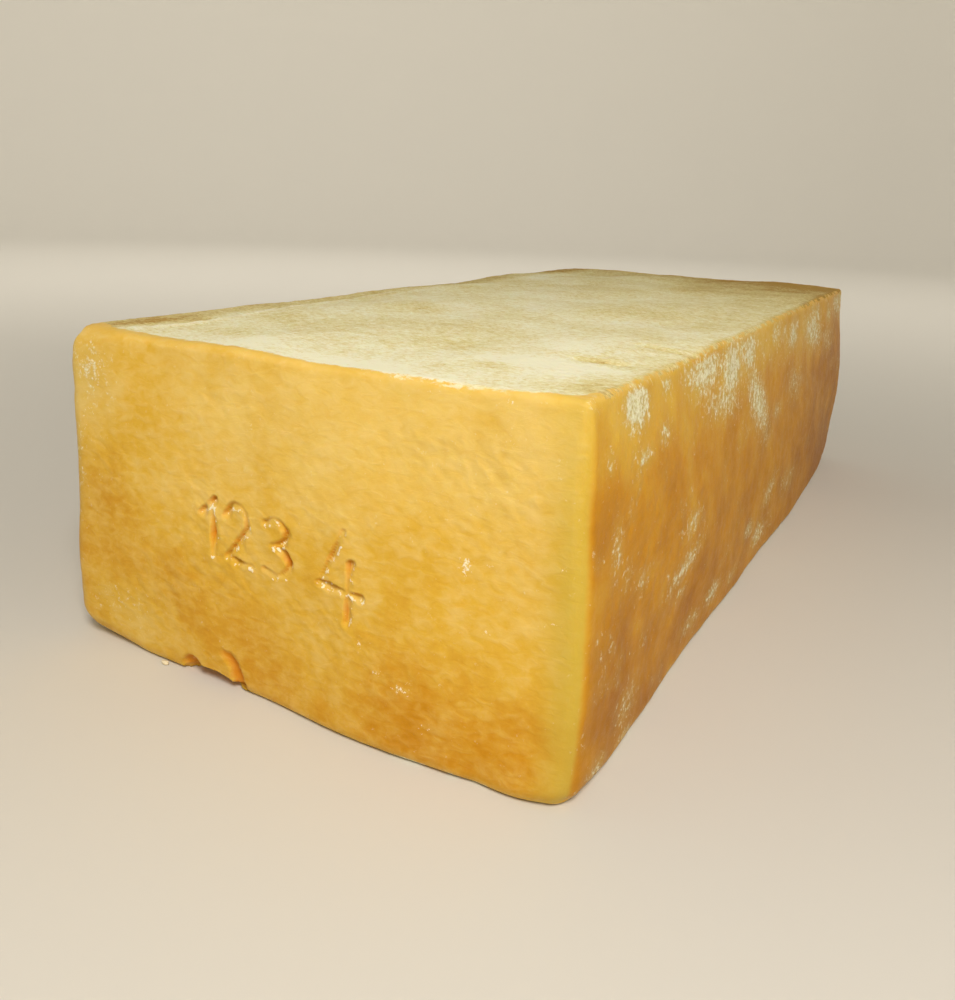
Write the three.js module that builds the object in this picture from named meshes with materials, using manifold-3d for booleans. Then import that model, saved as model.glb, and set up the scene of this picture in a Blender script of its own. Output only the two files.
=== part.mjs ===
// A block of pressed, washed-rind tomme cheese, lying on its largest face.
// Millimetres, +Z up. The front face looks along -Y, and the long side runs along Y.
import * as THREE from 'three';
import { mergeVertices } from 'three/addons/utils/BufferGeometryUtils.js';
import Module from 'manifold-3d';

const wasm = await Module();
wasm.setup();

// Driving dimensions of the block, at its base before the edges are rounded.
const LENGTH = 499;
const WIDTH = 229;
const HEIGHT = 128;
const TAPER = 7.5; // how far each side leans in from base to top, as the mould draws

// Radii of the rounded edges.
const TOP_EDGE = 2.8;
const BASE_EDGE = 4.5;
const UPRIGHT_EDGE = 10;
const CRISP_EDGE = { side: [1, -1], radius: 6, reach: 40 }; // the upright edge that stayed sharpest

// Corners that handling has rounded further: a place as signs of X, Y and Z, a radius and a reach.
const WORN_CORNERS = [
  { side: [-1, -1, -1], radius: 15, reach: 46 },
  { side: [1, -1, -1], radius: 9, reach: 30 },
  { side: [1, 1, -1], radius: 15, reach: 46 },
  { side: [-1, 1, -1], radius: 13, reach: 40 },
  { side: [-1, -1, 1], radius: 9, reach: 34 },
];

// Swellings of the sides near the base: the middle along the side, the reach each way,
// how far out they stand, and the height where they die out.
const SWELLS = {
  front: [{ middle: 45, reach: 65, out: 4, top: 105 }, { middle: 99, reach: 19, out: 2.6, top: 24 }],
  right: [{ middle: 105, reach: 135, out: 3, top: 105 }],
  back: [{ middle: -35, reach: 80, out: 3, top: 105 }],
  left: [{ middle: -60, reach: 150, out: 2.5, top: 105 }],
};
// Every side bows out at half height.
const SIDE_BOW = { right: 2.7, left: 2.2, front: 1.2, back: 1.6 };
const CROWN = 2.2; // the top rises this far towards its middle

// Long shallow waves that leave no face quite flat: waves per millimetre along X, Y and Z, and a phase.
const WAVE_HEIGHT = 0.35;
const WAVES = [
  { turn: [0.061, 0.017, 0.043], phase: 0.6 },
  { turn: [-0.038, 0.049, 0.071], phase: 2.1 },
  { turn: [0.083, -0.031, -0.058], phase: 4.0 },
];

// Where the plain box is cut before it is shaped: close together beside an edge, wide apart between.
const EDGE_CUTS = [0, 1.3, 3.2, 6, 10, 16, 24, 34];
const OPEN_STEP = 22;

// Digits pressed into the front face: the stroke's tool and how far its axis lies inside the face.
const STROKE_RADIUS = 2.1;
const STROKE_SINK = 0.5;
const STROKE_SIDES = 8;

// Each digit: its strokes in a box one wide and one high, and whether they curve.
const DIGIT_STROKES = {
  1: { curved: false, strokes: [[[0, 0.74], [0.7, 1]], [[0.7, 1], [0.75, 0]]] },
  2: {
    curved: true,
    strokes: [
      [[0, 0.8], [0.3, 1], [0.75, 0.94], [0.85, 0.68], [0.5, 0.38], [0.08, 0.06]],
      [[0.08, 0.06], [0.5, 0.03], [1, 0]],
    ],
  },
  3: {
    curved: true,
    strokes: [
      [[0.05, 0.9], [0.45, 1], [0.85, 0.84], [0.7, 0.62], [0.35, 0.54]],
      [[0.35, 0.54], [0.8, 0.45], [0.95, 0.24], [0.55, 0.02], [0, 0.08]],
    ],
  },
  4: { curved: false, strokes: [[[0.55, 1], [0, 0.36]], [[0, 0.36], [1, 0.32]], [[0.72, 0.66], [0.7, 0]]] },
};
// Their row on the face: the digit, its left side, its foot, its width and its height.
const DIGIT_ROW = [
  { digit: 1, left: -37.5, foot: 53.5, wide: 8, high: 20.5 },
  { digit: 2, left: -26, foot: 53, wide: 12.5, high: 21 },
  { digit: 3, left: -7.5, foot: 52, wide: 12, high: 21 },
  { digit: 4, left: 17.5, foot: 44, wide: 17.5, high: 31 },
];

// Chips broken out of the front edge at the base: ellipsoids, with a middle and half-axes.
const CHIPS = [
  { at: [-45.5, -2, 2.8], half: [6, 6, 6] },
  { at: [-36.5, -1.5, 0], half: [16, 11, 7.6] },
];
// A crescent torn beside them, as an arc on the front face.
const TEAR = { from: [-28.8, 14.5], through: [-23.6, 11], to: [-20.2, 1], radius: 2.9 };

// A raised seam that the pressing cloth left on the top: points of its two runs, half sunk in the top.
const SEAM_RADIUS = 1.7;
const SEAM_SIDES = 6;
const SEAM_SINK = 0.7;
const SEAM_LONG = [[-82, -234], [-78, -205], [-84, -143], [-90, -90], [-93, -50], [-97, -10]];
const SEAM_CROSS = [[-74, -37], [-46, -30], [-18, -31]];

const clamp = (value, low, high) => Math.min(high, Math.max(low, value));

function fade(distance, reach) {
  const t = clamp(distance / reach, -1, 1);
  return (1 - t * t) ** 2;
}

// Places of the cuts across one side of the box, from one edge to the other.
function cutPlaces(size) {
  const near = EDGE_CUTS.map((inset) => inset - size / 2);
  const open = size - 2 * EDGE_CUTS.at(-1);
  const steps = Math.round(open / OPEN_STEP);
  const between = Array.from({ length: steps - 1 }, (_, i) => near.at(-1) + (open * (i + 1)) / steps);
  return [...near, ...between, ...near.map((place) => -place).reverse()];
}

// The radius that the block's edges have near a point of the plain box.
function edgeRadius(p) {
  const toTop = fade(HEIGHT / 2 - p.z, 22);
  const toBase = fade(HEIGHT / 2 + p.z, 22);
  const [crispX, crispY] = CRISP_EDGE.side;
  const fromCrisp = Math.hypot(p.x - (crispX * WIDTH) / 2, p.y - (crispY * LENGTH) / 2);
  const upright = UPRIGHT_EDGE + (CRISP_EDGE.radius - UPRIGHT_EDGE) * fade(fromCrisp, CRISP_EDGE.reach);
  let radius = upright + (TOP_EDGE - upright) * toTop + (BASE_EDGE - upright) * toBase;
  for (const corner of WORN_CORNERS) {
    const [sx, sy, sz] = corner.side;
    const away = Math.hypot(p.x - (sx * WIDTH) / 2, p.y - (sy * LENGTH) / 2, p.z - (sz * HEIGHT) / 2);
    radius += (corner.radius - radius) * fade(away, corner.reach);
  }
  return radius;
}

// How far a side stands out at a place along it and a height.
function swell(side, along, height) {
  return SWELLS[side].reduce(
    (sum, { middle, reach, out, top }) => sum + out * fade(along - middle, reach) * fade(height, top),
    0,
  );
}

// Takes a point of the plain box, centred on the origin, to its place on the finished block.
function shapePoint(box) {
  const radius = edgeRadius(box);
  const half = new THREE.Vector3(WIDTH / 2 - radius, LENGTH / 2 - radius, HEIGHT / 2 - radius);
  const core = box.clone().clamp(half.clone().negate(), half);
  const p = core.clone().add(box.clone().sub(core).setLength(radius));
  p.z += HEIGHT / 2;

  const up = p.z / HEIGHT;
  const acrossX = p.x / (WIDTH / 2);
  const acrossY = p.y / (LENGTH / 2);
  const sideX = acrossX > 0 ? 'right' : 'left';
  const sideY = acrossY > 0 ? 'back' : 'front';
  const belly = Math.sin(Math.PI * clamp(up, 0, 1));
  const bow = (side) => SIDE_BOW[side] * belly - TAPER * up;
  const out = new THREE.Vector3(
    acrossX * (bow(sideX) + swell(sideX, p.y, p.z) * Math.abs(acrossX)),
    acrossY * (bow(sideY) + swell(sideY, p.x, p.z) * acrossY ** 2),
    CROWN * up ** 4 * (1 - acrossX ** 2) * (1 - acrossY ** 2),
  );
  const wave = WAVES.reduce((sum, w) => {
    const [a, b, c] = w.turn;
    return sum + Math.sin(a * p.x + b * p.y + c * p.z + w.phase);
  }, 0);
  const outward = new THREE.Vector3(acrossX ** 5, acrossY ** 9, Math.max(0, 2 * up - 1) ** 3);
  p.add(out).addScaledVector(outward, WAVE_HEIGHT * wave);
  p.z = Math.max(0, p.z);
  return p;
}

// The point of the front face at a given X and height, and of the top at a given X and Y.
function onFront(x, z) {
  const box = new THREE.Vector3(x, -LENGTH / 2, z - HEIGHT / 2);
  for (let i = 0; i < 4; i++) box.x += x - shapePoint(box).x;
  return shapePoint(box);
}

function onTop(x, y) {
  const box = new THREE.Vector3(x, y, HEIGHT / 2);
  for (let i = 0; i < 4; i++) {
    const p = shapePoint(box);
    box.x += x - p.x;
    box.y += y - p.y;
  }
  return shapePoint(box);
}

// A geometry as a manifold-3d solid, and back.
function solidOf(geometry) {
  geometry.deleteAttribute('normal');
  geometry.deleteAttribute('uv');
  const merged = mergeVertices(geometry, 1e-4);
  return new wasm.Manifold(new wasm.Mesh({
    numProp: 3,
    vertProperties: new Float32Array(merged.attributes.position.array),
    triVerts: new Uint32Array(merged.index.array),
  }));
}

function geometryOf(solid) {
  const mesh = solid.getMesh();
  const geometry = new THREE.BufferGeometry();
  geometry.setAttribute('position', new THREE.BufferAttribute(mesh.vertProperties, 3));
  geometry.setIndex(new THREE.BufferAttribute(mesh.triVerts, 1));
  return geometry;
}

function block() {
  const places = [WIDTH, LENGTH, HEIGHT].map(cutPlaces);
  const counts = places.map((list) => list.length - 1);
  const geometry = new THREE.BoxGeometry(WIDTH, LENGTH, HEIGHT, ...counts);
  const position = geometry.attributes.position;
  const p = new THREE.Vector3();
  for (let i = 0; i < position.count; i++) {
    p.fromBufferAttribute(position, i);
    [WIDTH, LENGTH, HEIGHT].forEach((size, k) => {
      const cut = Math.round((p.getComponent(k) / size + 0.5) * counts[k]);
      p.setComponent(k, places[k][cut]);
    });
    position.setXYZ(i, ...shapePoint(p).toArray());
  }
  return solidOf(geometry);
}

// A round bar along a curve, closed at both ends.
function bar(curve, radius, sides, steps) {
  const outline = Array.from({ length: sides }, (_, i) => {
    const angle = (2 * Math.PI * (i + 0.5)) / sides;
    return new THREE.Vector2(radius * Math.cos(angle), radius * Math.sin(angle));
  });
  return solidOf(new THREE.ExtrudeGeometry(new THREE.Shape(outline), { steps, extrudePath: curve }));
}

function ellipsoid(at, half) {
  const ball = new THREE.SphereGeometry(1, 12, 8);
  ball.scale(...half);
  ball.translate(...at);
  return solidOf(ball);
}

// The strokes that press one digit into the front face.
function digitStrokes({ digit, left, foot, wide, high }) {
  const { curved, strokes } = DIGIT_STROKES[digit];
  return strokes.map((stroke) => {
    const points = stroke.map(([u, v]) => {
      const p = onFront(left + u * wide, foot + v * high);
      p.y += STROKE_SINK;
      return p;
    });
    const curve = curved
      ? new THREE.CatmullRomCurve3(points)
      : new THREE.LineCurve3(points[0], points[1]);
    return bar(curve, STROKE_RADIUS, STROKE_SIDES, curved ? 2 * points.length : 2);
  });
}

function brokenEdge() {
  const chips = CHIPS.map(({ at: [x, inset, z], half }) => ellipsoid([x, onFront(x, 6).y + inset, z], half));
  const [from, through, to] = [TEAR.from, TEAR.through, TEAR.to].map(([x, z]) => onFront(x, z));
  const tear = bar(new THREE.QuadraticBezierCurve3(from, through, to), TEAR.radius, STROKE_SIDES, 5);
  return [...chips, tear];
}

function seams() {
  return [SEAM_LONG, SEAM_CROSS].map((run) => {
    const points = run.map(([x, y]) => {
      const p = onTop(x, y);
      p.z -= SEAM_SINK;
      return p;
    });
    return bar(new THREE.CatmullRomCurve3(points), SEAM_RADIUS, SEAM_SIDES, 4 * points.length);
  });
}

function cheeseBlock() {
  let solid = block();
  for (const seam of seams()) solid = solid.add(seam);
  for (const tool of [...DIGIT_ROW.flatMap(digitStrokes), ...brokenEdge()]) solid = solid.subtract(tool);
  const geometry = geometryOf(solid);
  geometry.computeBoundingBox();
  const middle = geometry.boundingBox.getCenter(new THREE.Vector3());
  geometry.translate(-middle.x, -middle.y, -geometry.boundingBox.min.z);
  geometry.computeVertexNormals();
  return geometry;
}

const rind = new THREE.MeshStandardMaterial({ color: 0xdca545, roughness: 0.5, metalness: 0 });
const cheese = new THREE.Mesh(cheeseBlock(), rind);
cheese.name = 'cheese_block';

const model = new THREE.Group();
model.add(cheese);
export default model;
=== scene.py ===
# %% [markdown]
# # A block of washed-rind tomme
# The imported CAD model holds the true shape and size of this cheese: one pressed block, uncut, lying on
# its largest face. This lesson makes the block that is seen. It has the same form, many more faces, the
# marks of the mould and the cloth, and a rind made of shader nodes. Everything is in metres and stands
# in the frame of the CAD model, so nothing has to be fitted to it.

import math

import bmesh
import bpy
import numpy as np
from mathutils import Euler, Matrix, Vector, noise


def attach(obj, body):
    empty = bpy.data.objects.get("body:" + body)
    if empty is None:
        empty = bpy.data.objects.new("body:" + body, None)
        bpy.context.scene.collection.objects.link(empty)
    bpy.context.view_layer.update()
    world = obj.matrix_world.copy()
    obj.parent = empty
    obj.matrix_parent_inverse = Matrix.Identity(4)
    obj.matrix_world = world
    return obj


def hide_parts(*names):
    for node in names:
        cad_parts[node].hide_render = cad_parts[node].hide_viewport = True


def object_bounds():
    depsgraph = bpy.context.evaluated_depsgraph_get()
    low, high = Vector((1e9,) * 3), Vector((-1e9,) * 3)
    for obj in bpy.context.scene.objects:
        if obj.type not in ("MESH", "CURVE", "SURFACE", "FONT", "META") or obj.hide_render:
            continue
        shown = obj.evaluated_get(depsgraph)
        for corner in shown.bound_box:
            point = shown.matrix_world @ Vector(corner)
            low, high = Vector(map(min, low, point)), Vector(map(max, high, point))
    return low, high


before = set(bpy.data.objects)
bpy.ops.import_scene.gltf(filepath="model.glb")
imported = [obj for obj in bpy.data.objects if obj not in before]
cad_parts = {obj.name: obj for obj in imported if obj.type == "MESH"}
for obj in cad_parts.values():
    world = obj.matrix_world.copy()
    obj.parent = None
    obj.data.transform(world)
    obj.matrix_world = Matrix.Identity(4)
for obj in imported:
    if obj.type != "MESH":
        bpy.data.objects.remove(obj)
cad_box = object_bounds()
bpy.ops.object.select_all(action="DESELECT")

MM = 0.001  # one millimetre in metres
print("CAD box in mm:", [[round(value / MM, 1) for value in corner] for corner in cad_box])

# %% [markdown]
# ## The camera
# The camera comes first, because every later choice is judged from it. Its place was worked out from
# the edges of the block: it stands a quarter of a metre from the near corner and looks a little down.
# A long block seen from so close narrows strongly towards its far end, and only the true distance
# gives that. The lens follows from the distance and is never used to zoom.

# %% Place the camera
EYE = Vector((192.1, -459.0, 178.4)) * MM
LOOK_LEFT, LOOK_DOWN, LEAN = (math.radians(angle) for angle in (28.6, 18.9, 2.2))
LENS = 31.5  # mm

bpy.ops.object.camera_add(location=EYE)
camera = bpy.context.object
camera.name = "photo_camera"
aim = Euler((math.pi / 2 - LOOK_DOWN, 0, LOOK_LEFT)).to_matrix() @ Matrix.Rotation(LEAN, 3, "Z")
camera.rotation_euler = aim.to_euler()
camera.data.lens = LENS
camera.data.clip_start = 10 * MM
bpy.context.scene.camera = camera
print("camera looks along", [round(value, 3) for value in -aim.col[2]])

# %% [markdown]
# ## The blank
# The real block is pressed in a rectangular mould, so the work starts with a box. The rind is
# wrinkled and marked at the scale of a millimetre, and each mark needs faces of its own. Faces that
# small everywhere would be far too many, so the box is first cut into zones by bisecting it. Edges are
# cut finely, the near part of the long sides less finely, and the far part least. The middle of the
# base lies on the shelf and can't be seen, so it is taken out here and closed with one face later.

# %% Cut the blank into zones
WIDTH, LENGTH, HEIGHT = 229.0, 499.0, 128.0  # mm, the sharp box that the form starts from
BOX = np.array((WIDTH, LENGTH, HEIGHT))

# For X, Y and Z: where each zone starts and ends in mm from the middle, and into how many it is cut.
ZONES = (
    ((-114.5, -108.5, 6), (-108.5, -98.5, 5), (-98.5, 98.5, 90), (98.5, 108.5, 5), (108.5, 114.5, 6)),
    ((-249.5, -243.5, 6), (-243.5, -233.5, 5), (-233.5, -129.5, 43), (-129.5, 10.5, 44),
     (10.5, 233.5, 50), (233.5, 243.5, 4), (243.5, 249.5, 5)),
    ((-64, -58, 6), (-58, -48, 5), (-48, 48, 44), (48, 58, 5), (58, 64, 6)),
)
TOUCH = 0.01 * MM  # places closer than this are the same

bpy.ops.mesh.primitive_cube_add(size=1, location=(0, 0, 0))
block = bpy.context.object
block.name = "rind_block"
block.scale = BOX * MM
bpy.ops.object.transform_apply(scale=True)

bpy.ops.object.mode_set(mode="EDIT")
for axis, zones in enumerate(ZONES):
    for _, end, _ in zones[:-1]:
        place, along = Vector(), Vector()
        place[axis], along[axis] = end * MM, 1
        bpy.ops.mesh.select_all(action="SELECT")
        bpy.ops.mesh.bisect(plane_co=place, plane_no=along, threshold=TOUCH)


def select_edges(wanted):
    """Selects the edges of the mesh in edit mode for which wanted(start, end) holds."""
    bpy.ops.mesh.select_mode(type="EDGE")
    mesh = bmesh.from_edit_mesh(block.data)
    for edge in mesh.edges:
        edge.select_set(bool(wanted(*(corner.co for corner in edge.verts))))
    bmesh.update_edit_mesh(block.data)


def select_faces(wanted):
    """Selects the faces of the mesh in edit mode for which wanted(middle, normal) holds."""
    bpy.ops.mesh.select_mode(type="FACE")
    mesh = bmesh.from_edit_mesh(block.data)
    for face in mesh.faces:
        face.select_set(bool(wanted(face.calc_center_median(), face.normal)))
    bmesh.update_edit_mesh(block.data)


EDGE_BAND = 16 * MM  # the base keeps its faces this far in from its sides, for the rounded edge
select_faces(lambda middle, normal: normal.z < -0.5
             and abs(middle.x) < WIDTH / 2 * MM - EDGE_BAND and abs(middle.y) < LENGTH / 2 * MM - EDGE_BAND)
bpy.ops.mesh.delete(type="FACE")

for axis, zones in enumerate(ZONES):
    for start, end, pieces in zones:
        low, high = start * MM - TOUCH, end * MM + TOUCH
        select_edges(lambda a, b: abs(a[axis] - b[axis]) > TOUCH
                     and low < min(a[axis], b[axis]) and max(a[axis], b[axis]) < high)
        bpy.ops.mesh.subdivide(number_cuts=pieces - 1)
bpy.ops.object.mode_set(mode="OBJECT")
print("blank:", len(block.data.polygons), "faces")

# %% [markdown]
# ## Where the marks are
# Four digits are pressed into the front by hand, stroke by stroke. The bottom edge is chipped. A
# seam of the pressing cloth left a thin raised line on the top. All are kept as short lists of
# millimetres, the same as in the CAD source, because both have to agree. One chip is an exception:
# the flap over it hangs 2 mm lower here.

# %% Name the marks
# Each digit's strokes in a box one wide and one high, and whether they curve.
DIGIT_STROKES = {
    1: (False, [[(0, 0.74), (0.7, 1)], [(0.7, 1), (0.75, 0)]]),
    2: (True, [[(0, 0.8), (0.3, 1), (0.75, 0.94), (0.85, 0.68), (0.5, 0.38), (0.08, 0.06)],
               [(0.08, 0.06), (0.5, 0.03), (1, 0)]]),
    3: (True, [[(0.05, 0.9), (0.45, 1), (0.85, 0.84), (0.7, 0.62), (0.35, 0.54)],
               [(0.35, 0.54), (0.8, 0.45), (0.95, 0.24), (0.55, 0.02), (0, 0.08)]]),
    4: (False, [[(0.55, 1), (0, 0.36)], [(0, 0.36), (1, 0.32)], [(0.72, 0.66), (0.7, 0)]]),
}
# The row on the front: digit, left side, foot, width, height.
DIGIT_ROW = ((1, -37.5, 53.5, 8, 20.5), (2, -26, 53, 12.5, 21), (3, -7.5, 52, 12, 21),
             (4, 17.5, 44, 17.5, 31))
# Chips of the bottom edge: middle as X, inset from the front and Z, then half-axes. The flap hangs
# over the second one.
CHIPS = (((-45.5, -2, 2.8), (6, 6, 6)), ((-36.5, -1.5, 0), (16, 11, 5.6)))
# The torn groove beside them, as X and Z on the front, and the seam's two runs, as X and Y on the top.
TEAR = ((-28.8, 14.5), (-23.6, 11), (-20.2, 1))
SEAM_LONG = ((-82, -234), (-78, -205), (-84, -143), (-90, -90), (-93, -50), (-97, -10))
SEAM_CROSS = ((-74, -37), (-46, -30), (-18, -31))
print("digits:", len(DIGIT_ROW), "chips:", len(CHIPS))

# %% [markdown]
# ## More faces around the marks
# A stroke is about four millimetres wide, and its walls need faces of less than one. The faces around the
# marks are halved now, while the blank is still flat and they are easy to find by place and normal.
# The whole front, the near top and the near part of the right side are halved too, since the camera
# comes closest to them.

# %% Halve the faces around the marks
# Fields of the front, each from one X to another and from one Z to another, in mm.
WHOLE_FRONT = ((-98.5, 98.5), (16, 112))
DIGIT_FIELD = ((-44, 42), (38, 82))
CHIP_FIELD = ((-56, -12), (0, 20))
SEAM_FIELD = 6  # mm to each side of a seam


def near_seam(x, y):
    """Whether a place on the top, in mm, lies near a seam."""
    for run in (SEAM_LONG, SEAM_CROSS):
        for a, b in zip(run, run[1:]):
            a, b = Vector(a), Vector(b)
            t = min(1, max(0, (Vector((x, y)) - a).dot(b - a) / (b - a).length_squared))
            if (Vector((x, y)) - a.lerp(b, t)).length < SEAM_FIELD:
                return True
    return False


def on_front(x_reach, z_reach):
    """A test for faces of the front whose middle lies between two X and two Z, in mm."""
    (x0, x1), (z0, z1) = x_reach, z_reach
    return lambda middle, normal: (normal.y < -0.5 and x0 < middle.x / MM < x1
                                   and z0 < middle.z / MM + HEIGHT / 2 < z1)


def near_side(middle, normal):
    """Faces of the long right side near the front corner."""
    return normal.x > 0.5 and -233.5 < middle.y / MM < -129.5 and abs(middle.z / MM) < 48


def near_top(middle, normal):
    """Faces of the top near the front, and along the seams."""
    x, y = middle.x / MM, middle.y / MM
    return normal.z > 0.5 and abs(x) < 98.5 and (-233.5 < y < -150 or (y >= -150 and near_seam(x, y)))


bpy.ops.object.mode_set(mode="EDIT")
for wanted in (on_front(*WHOLE_FRONT), near_side, near_top, on_front(*DIGIT_FIELD), on_front(*CHIP_FIELD)):
    select_faces(wanted)
    bpy.ops.mesh.subdivide(number_cuts=1)
select_edges(lambda a, b: False)
bpy.ops.object.mode_set(mode="OBJECT")
print("after halving:", len(block.data.polygons), "faces")

# %% [markdown]
# ## The form
# A pressed block is never a true box. The mould tapers, so the sides lean in. The paste swells a
# little before it sets, so the sides bow and the foot spreads. The edges are soft and the corners
# are worn. One function takes each point of the box to its place on the block, with the numbers that
# the CAD source uses. A function over all points was chosen here instead of lattices or sculpting,
# because it is the only way for the two models to stay the same.
#
# The edges come first. Each has its own radius, which changes smoothly towards a worn corner.

# %% Round the edges
TOP_EDGE, BASE_EDGE, UPRIGHT_EDGE = 2.8, 4.5, 10  # radii in mm
EDGE_FADE = 22  # mm from the top and the base over which their radius passes into the upright edges'
CRISP_EDGE = ((1, -1), 6, 40)  # signs of X and Y, radius, reach: the upright edge that stayed sharpest
# Worn corners: signs of X, Y and Z, radius, reach.
WORN_CORNERS = (((-1, -1, -1), 15, 46), ((1, -1, -1), 9, 30), ((1, 1, -1), 15, 46),
                ((-1, 1, -1), 13, 40), ((-1, -1, 1), 9, 34))


def fade(distance, reach):
    """1 at no distance, falling smoothly to 0 at the reach."""
    return (1 - np.clip(distance / reach, -1, 1) ** 2) ** 2


def edge_radius(box):
    """The radius of the rounded edges near each point of the box."""
    x, y, z = box.T
    signs, crisp, reach = CRISP_EDGE
    away = np.linalg.norm(box[:, :2] - np.array(signs) * BOX[:2] / 2, axis=1)
    upright = UPRIGHT_EDGE + (crisp - UPRIGHT_EDGE) * fade(away, reach)
    radius = upright + (TOP_EDGE - upright) * fade(HEIGHT / 2 - z, EDGE_FADE)
    radius += (BASE_EDGE - upright) * fade(HEIGHT / 2 + z, EDGE_FADE)
    for signs, worn, reach in WORN_CORNERS:
        away = np.linalg.norm(box - np.array(signs) * BOX / 2, axis=1)
        radius += (worn - radius) * fade(away, reach)
    return radius


corners = np.array([(x, y, z) for x in (-1, 1) for y in (-1, 1) for z in (-1, 1)]) * BOX / 2
print("radii at the eight corners in mm:", edge_radius(corners).round(1))

# %% [markdown]
# ## Lean, bow and swell
# The sides lean in by the mould's taper. On top of that each has one smooth bow over its height, and
# swellings where the paste sank and spread. The top has a low crown. Three long waves, less than half
# a millimetre high, keep any face from being quite flat.

# %% Work out the form
TAPER = 7.5  # mm that each side leans in over the whole height
SIDE_BOW = {"right": 2.7, "left": 2.2, "front": 1.2, "back": 1.6}
# Swellings: middle along the side, reach, how far out, and the height where they die out.
SWELLS = {
    "front": ((45, 65, 4, 105), (99, 19, 2.6, 24)),
    "right": ((105, 135, 3, 105),),
    "back": ((-35, 80, 3, 105),),
    "left": ((-60, 150, 2.5, 105),),
}
CROWN = 2.2
WAVE_HEIGHT = 0.35
# Each wave's turn in radians for each mm of X, Y and Z, and its start.
WAVES = (((0.061, 0.017, 0.043), 0.6), ((-0.038, 0.049, 0.071), 2.1), ((0.083, -0.031, -0.058), 4.0))


def swell(side, along, height):
    """How far a side stands out at each place along it and each height."""
    return sum(out * fade(along - middle, reach) * fade(height, top)
               for middle, reach, out, top in SWELLS[side])


def shape(box):
    """Takes points of the sharp box, in mm from its middle, to their places on the block."""
    radius = edge_radius(box)[:, None]
    core = np.clip(box, radius - BOX / 2, BOX / 2 - radius)
    away = box - core
    points = core + away * radius / np.linalg.norm(away, axis=1)[:, None]
    points[:, 2] += HEIGHT / 2
    x, y, z = points.T
    up, across_x, across_y = z / HEIGHT, x / (WIDTH / 2), y / (LENGTH / 2)
    belly = np.sin(np.pi * np.clip(up, 0, 1))
    side_x = np.where(x > 0, SIDE_BOW["right"] * belly + swell("right", y, z) * np.abs(across_x),
                      SIDE_BOW["left"] * belly + swell("left", y, z) * np.abs(across_x))
    side_y = np.where(y > 0, SIDE_BOW["back"] * belly + swell("back", x, z) * across_y ** 2,
                      SIDE_BOW["front"] * belly + swell("front", x, z) * across_y ** 2)
    out = np.stack((across_x * (side_x - TAPER * up), across_y * (side_y - TAPER * up),
                    CROWN * up ** 4 * (1 - across_x ** 2) * (1 - across_y ** 2)), 1)
    wave = sum(np.sin(points @ np.array(turn) + phase) for turn, phase in WAVES)
    outward = np.stack((across_x ** 5, across_y ** 9, np.maximum(0, 2 * up - 1) ** 3), 1)
    points += out + outward * (WAVE_HEIGHT * wave)[:, None]
    points[:, 2] = np.maximum(0, points[:, 2])
    return points


def read_points():
    """The mesh's points in mm."""
    points = np.empty(len(block.data.vertices) * 3, np.float32)
    block.data.vertices.foreach_get("co", points)
    return points.reshape(-1, 3).astype(float) / MM


def write_points(points):
    """Puts the mesh's points at these places, in mm."""
    block.data.vertices.foreach_set("co", (points * MM).astype(np.float32).ravel())
    block.data.update()


def read_normals():
    """The mesh's point normals."""
    normals = np.empty(len(block.data.vertices) * 3, np.float32)
    block.data.vertex_normals.foreach_get("vector", normals)
    return normals.reshape(-1, 3).astype(float)


box_points = read_points()
points = shape(box_points)
# The CAD source centres its block on the frame's origin, so the same shift is taken here.
centre = (points.min(0) + points.max(0)) / 2 * (1, 1, 0)
print("shift to the frame's origin in mm:", centre.round(2), "form:", np.ptp(points, axis=0).round(2))

# %% [markdown]
# ## Reading the surface
# Every later step needs to know where a point lies: on the front, on a long side or on the top, and
# how far from the edges. The sharp box answers this best, because there a point's face is plain. Each
# answer is a number from 0 to 1 that changes softly over the rounded edges.

# %% Weigh each point's face
half = BOX / 2
inset = half - np.abs(box_points)  # how far each point is from the box's six faces, in mm


def on_face(axis, sign, soft=5.0):
    """1 on one face of the block, falling to 0 over its rounded edges."""
    facing = np.sign(box_points[:, axis]) == sign
    nearest_other = np.delete(inset, axis, axis=1).min(1)
    depth = np.clip(inset[:, axis] / soft, 0, 1)
    return np.where(facing, (1 - depth) * np.clip(0.5 + 0.5 * nearest_other / soft, 0, 1), 0.0)


front, back = on_face(1, -1), on_face(1, 1)
right, left = on_face(0, 1), on_face(0, -1)
top = on_face(2, 1)


def lumps(at, size, seed, octaves=3):
    """Smooth noise from about -1 to 1 at each point, with lumps of about that size in mm."""
    shifted = at / size + 17.3 * seed
    return np.array([noise.fractal(place, 1.0, 2.0, octaves) for place in shifted])


def ramp(values, low, high):
    """Rises smoothly from 0 at low to 1 at high."""
    t = np.clip((values - low) / (high - low), 0, 1)
    return t * t * (3 - 2 * t)


print("points on the front:", int((front > 0.5).sum()), "on the top:", int((top > 0.5).sum()))

# %% [markdown]
# ## Lines on a face
# Digits, seams and cracks are all drawn as lines. Two helpers serve them: one rounds a broken line,
# and one tells each point of the mesh how far it is from a line and on which side.

# %% Helpers for lines
def smooth_line(corners, steps=6):
    """A broken line through the corners, rounded as a Catmull-Rom curve."""
    corners = np.array(corners, float)
    ends = 2 * corners[[0, -1]] - corners[[1, -2]]
    p = np.vstack((ends[:1], corners, ends[1:]))
    line = []
    for a, b, c, d in zip(p, p[1:], p[2:], p[3:]):
        for t in np.arange(steps) / steps:
            line.append(0.5 * (2 * b + (c - a) * t + (2 * a - 5 * b + 4 * c - d) * t ** 2
                               + (3 * b - a - 3 * c + d) * t ** 3))
    return np.array(line + [corners[-1]])


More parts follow.
